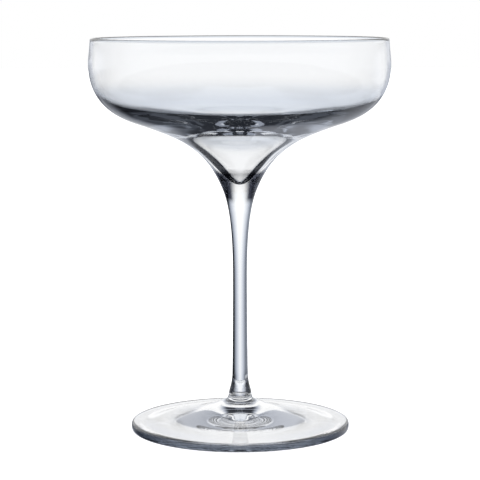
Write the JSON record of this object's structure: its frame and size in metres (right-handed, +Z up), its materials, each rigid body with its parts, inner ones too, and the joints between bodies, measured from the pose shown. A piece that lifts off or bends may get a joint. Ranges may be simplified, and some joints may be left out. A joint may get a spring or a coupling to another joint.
{
  "type": "champagne coupe",
  "caption": "Stemmed champagne coupe of clear glass: a wide shallow bowl with near-upright sides that runs down into a slim drawn stem, on a round, gently domed foot.",
  "frame": {"origin": "on the table under the middle of the foot, on the glass's axis", "axes": "+Z up along the axis that the whole glass is turned around; X and Y are any level pair, with -Y towards the picture's camera"},
  "size_m": [0.112, 0.112, 0.147],
  "materials": {
    "clear_glass": "fire-polished, clear and colourless, with a faint cool cast in the thick stem and foot"
  },
  "bodies": {
    "root": {"bowl": "clear_glass", "stem": "clear_glass", "foot": "clear_glass"}
  },
  "joints": []
}
